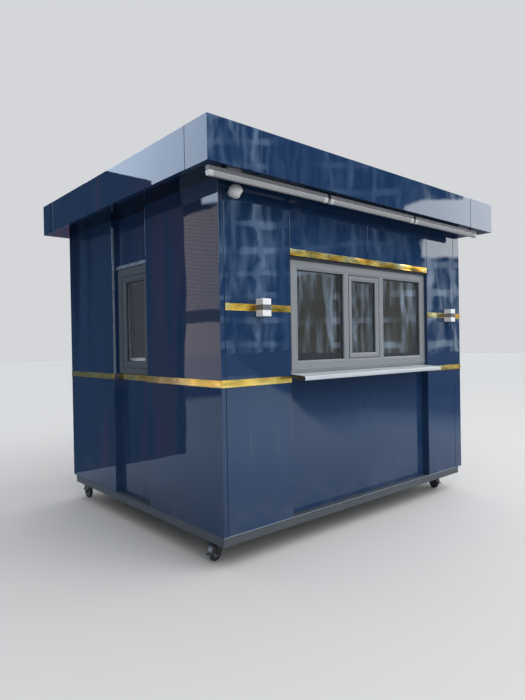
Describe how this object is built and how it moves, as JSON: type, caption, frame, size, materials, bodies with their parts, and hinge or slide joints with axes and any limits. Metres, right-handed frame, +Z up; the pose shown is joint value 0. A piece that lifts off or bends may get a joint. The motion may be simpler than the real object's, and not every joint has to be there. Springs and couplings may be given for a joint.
{
  "type": "street kiosk",
  "caption": "Mobile street kiosk on swivel castors: glossy navy cladding with gold strips, flat overhanging boxed roof, serving window over a shelf, side window.",
  "frame": {"origin": "on the ground, under the middle of the roof's rectangular outline", "axes": "+Z up, the serving front faces -Y, +X to the right seen from the front"},
  "size_m": [3.51, 2.748, 2.853],
  "materials": {
    "base_steel": "dark grey paint, satin, scuffed",
    "floor_board": "grey non-slip floor covering",
    "lining": "pale smooth wall lining",
    "navy_cladding": "high-gloss navy composite cassette",
    "soffit_gloss": "high-gloss very dark navy",
    "roof_sheet": "grey coated ribbed sheet",
    "gold_mirror": "polished gold mirror trim",
    "frame_grey": "mid grey powder coat, satin",
    "glass": "clear double glazing",
    "shelf_silver": "pale silver, satin",
    "bracket_black": "black powder coat",
    "light_aluminium": "grey anodised",
    "diffuser": "frosted translucent cover, unlit",
    "opal": "opal white",
    "camera_white": "white, slightly glossy",
    "zinc_steel": "bright zinc plate",
    "castor_black": "black tyre and wheel"
  },
  "bodies": {
    "kiosk": {"base_long_rails": "base_steel", "base_cross_rails": "base_steel", "floor_deck": "floor_board", "front_wall_core": "lining", "left_wall_core": "lining", "right_wall_core": "lining", "rear_wall_core": "lining", "front_left_pillar": "navy_cladding", "front_right_pillar": "navy_cladding", "front_header": "navy_cladding", "front_apron": "navy_cladding", "left_near_panel": "navy_cladding", "left_far_panel": "navy_cladding", "left_bay_panels": "navy_cladding", "right_panels": "navy_cladding", "rear_panels": "navy_cladding", "roof_deck": "roof_sheet", "ceiling_panel": "lining", "soffit": "soffit_gloss", "fascia_corners": "navy_cladding", "fascia_front": "navy_cladding", "fascia_left": "navy_cladding", "fascia_right": "navy_cladding", "fascia_rear": "navy_cladding", "gold_strips": "gold_mirror", "window_frame": "frame_grey", "window_sash": "frame_grey", "window_glass": "glass", "sash_glass": "glass", "window_sill": "frame_grey", "serving_shelf": "shelf_silver", "shelf_end_caps": "bracket_black", "shelf_brackets": "bracket_black", "side_window_head": "navy_cladding", "side_window_frame": "frame_grey", "side_window_sash": "frame_grey", "side_window_glass": "glass", "door_frame": "frame_grey", "door_leaf": "navy_cladding", "door_handle": "shelf_silver", "door_hinges": "zinc_steel", "light_bodies": "light_aluminium", "light_diffusers": "diffuser", "light_end_caps": "opal", "light_fixings": "bracket_black", "lamp_bands": "light_aluminium", "lamp_lenses": "opal", "security_camera": "camera_white", "castor_plates": "zinc_steel"},
    "castor_front_left": {"castor_fork_front_left": "zinc_steel"},
    "wheel_front_left": {"castor_wheel_front_left": "castor_black"},
    "castor_front_right": {"castor_fork_front_right": "zinc_steel"},
    "wheel_front_right": {"castor_wheel_front_right": "castor_black"},
    "castor_rear_left": {"castor_fork_rear_left": "zinc_steel"},
    "wheel_rear_left": {"castor_wheel_rear_left": "castor_black"},
    "castor_rear_right": {"castor_fork_rear_right": "zinc_steel"},
    "wheel_rear_right": {"castor_wheel_rear_right": "castor_black"}
  },
  "joints": [
    {"name": "castor_swivel_front_left", "type": "hinge", "parent": "kiosk", "child": "castor_front_left", "pos_m": [-1.408, -0.939, 0.15], "axis": [0, 0, 1], "continuous": true},
    {"name": "wheel_roll_front_left", "type": "hinge", "parent": "castor_front_left", "child": "wheel_front_left", "pos_m": [-1.44534, -0.95333, 0.0625], "axis": [0.3584, -0.9336, 0], "continuous": true},
    {"name": "castor_swivel_front_right", "type": "hinge", "parent": "kiosk", "child": "castor_front_right", "pos_m": [1.286, -0.939, 0.15], "axis": [0, 0, 1], "continuous": true},
    {"name": "wheel_roll_front_right", "type": "hinge", "parent": "castor_front_right", "child": "wheel_front_right", "pos_m": [1.27102, -0.97609, 0.0625], "axis": [0.9272, -0.3746, 0], "continuous": true},
    {"name": "castor_swivel_rear_left", "type": "hinge", "parent": "kiosk", "child": "castor_rear_left", "pos_m": [-1.432, 1.153, 0.15], "axis": [0, 0, 1], "continuous": true},
    {"name": "wheel_roll_rear_left", "type": "hinge", "parent": "castor_rear_left", "child": "wheel_rear_left", "pos_m": [-1.432, 1.193, 0.0625], "axis": [-1, 0, 0], "continuous": true},
    {"name": "castor_swivel_rear_right", "type": "hinge", "parent": "kiosk", "child": "castor_rear_right", "pos_m": [1.31, 1.153, 0.15], "axis": [0, 0, 1], "continuous": true},
    {"name": "wheel_roll_rear_right", "type": "hinge", "parent": "castor_rear_right", "child": "wheel_rear_right", "pos_m": [1.31279, 1.1929, 0.0625], "axis": [-0.9976, 0.0698, 0], "continuous": true}
  ]
}
